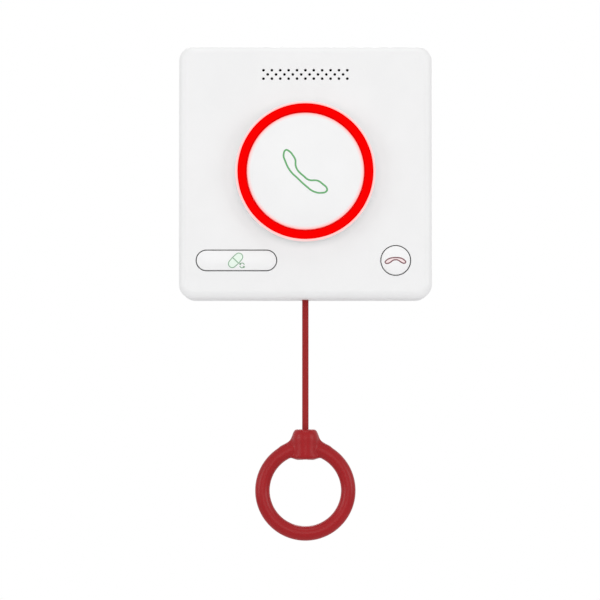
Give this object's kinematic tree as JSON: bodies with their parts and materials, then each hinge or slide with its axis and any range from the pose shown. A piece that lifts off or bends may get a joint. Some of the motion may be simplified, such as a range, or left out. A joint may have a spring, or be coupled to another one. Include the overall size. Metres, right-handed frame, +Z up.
{
  "type": "medical call button",
  "caption": "Square wall-mounted medical call unit with a round lit call button, an oblong and a round key, a sound grille and a hanging pull cord with a ring handle.",
  "frame": {"origin": "centre of the wall bracket's back face, behind the middle of the call button", "axes": "+Y into the wall, +Z up, +X to the right as one faces the unit; the front faces -Y"},
  "size_m": [0.125, 0.0412, 0.2449],
  "materials": {
    "case_white": "satin moulded ABS",
    "cap_white": "satin moulded ABS",
    "key_white": "satin moulded ABS",
    "ring_red": "translucent, lit red",
    "inner_white": "matt moulded",
    "lamp": "clear dome",
    "seal_black": "matt",
    "bracket_white": "matt moulded",
    "board_green": "solder mask",
    "switch_black": "moulded",
    "stem_white": "moulded",
    "spring_steel": "bright wire",
    "screw_steel": "zinc plated",
    "speaker_black": "moulded",
    "cone_grey": "film",
    "foam_black": "foam",
    "capsule": "drawn can",
    "can_tin": "tinned",
    "contact_nickel": "nickel plated",
    "cell_wrap": "plain sleeve",
    "ferrule_brass": "crimped",
    "cord_red": "smooth braided polyester",
    "handle_red": "soft semi-gloss moulding"
  },
  "bodies": {
    "case": {"wall_bracket": "bracket_white", "rear_shell": "case_white", "front_cover": "case_white", "case_gasket": "seal_black", "light_ring": "ring_red", "light_reflector": "inner_white", "ring_lamps": "lamp", "call_spring": "spring_steel", "call_switch": "switch_black", "medicine_switch": "switch_black", "hang_up_switch": "switch_black", "medicine_seal": "seal_black", "hang_up_seal": "seal_black", "speaker_frame": "speaker_black", "speaker_cone": "cone_grey", "speaker_gasket": "foam_black", "microphone": "capsule", "microphone_boot": "seal_black", "main_board": "board_green", "radio_module": "can_tin", "radio_aerial": "can_tin", "case_screws": "screw_steel", "board_screws": "screw_steel", "battery_door_screw": "screw_steel", "battery_cell_1": "cell_wrap", "battery_cell_2": "cell_wrap", "battery_cell_3": "cell_wrap", "battery_contact_plus": "contact_nickel", "battery_bridge_left": "contact_nickel", "battery_bridge_right": "contact_nickel", "battery_contact_minus": "contact_nickel", "battery_door": "case_white", "pull_bush": "inner_white", "pull_guide": "inner_white", "pull_spring": "spring_steel", "pull_switch": "switch_black"},
    "call_cap": {"call_button": "cap_white", "call_switch_stem": "stem_white"},
    "medicine_key": {"medicine_button": "key_white", "medicine_switch_stem": "stem_white"},
    "hang_up_key": {"hang_up_button": "key_white", "hang_up_switch_stem": "stem_white"},
    "puller": {"pull_slider": "stem_white", "cord_ferrule": "ferrule_brass", "cord_tail": "cord_red"},
    "switch_plunger": {"pull_switch_plunger": "stem_white"},
    "cord": {"pull_cord": "cord_red"},
    "handle": {"pull_ring": "handle_red", "cord_knot": "cord_red"}
  },
  "joints": [
    {"name": "call_press", "type": "slide", "parent": "case", "child": "call_cap", "axis": [0, 1, 0], "range_m": [0, 0.0015], "stiffness_N_per_m": 1200, "springref_m": -0.002, "deforming": ["call_spring"]},
    {"name": "medicine_press", "type": "slide", "parent": "case", "child": "medicine_key", "axis": [0, 1, 0], "range_m": [0, 0.0008], "stiffness_N_per_m": 2500, "springref_m": -0.0003},
    {"name": "hang_up_press", "type": "slide", "parent": "case", "child": "hang_up_key", "axis": [0, 1, 0], "range_m": [0, 0.0008], "stiffness_N_per_m": 2500, "springref_m": -0.0003},
    {"name": "cord_pull", "type": "slide", "parent": "case", "child": "puller", "axis": [0, 0, -1], "range_m": [0, 0.006], "stiffness_N_per_m": 1200, "springref_m": -0.004, "deforming": ["pull_spring"]},
    {"name": "plunger_press", "type": "slide", "parent": "case", "child": "switch_plunger", "axis": [1, 0, 0], "range_m": [0, 0.001]},
    {"name": "cord_swing", "type": "hinge", "parent": "puller", "child": "cord", "pos_m": [0, -0.0135, -0.0625], "axis": [0, 1, 0], "range_deg": [-30, 30]},
    {"name": "handle_tilt", "type": "hinge", "parent": "cord", "child": "handle", "pos_m": [0, -0.0135, -0.129], "axis": [1, 0, 0], "range_deg": [-28, 8]}
  ],
  "couplings": [
    {"joint": "plunger_press", "follows": "cord_pull", "ratio": 0.16}
  ]
}
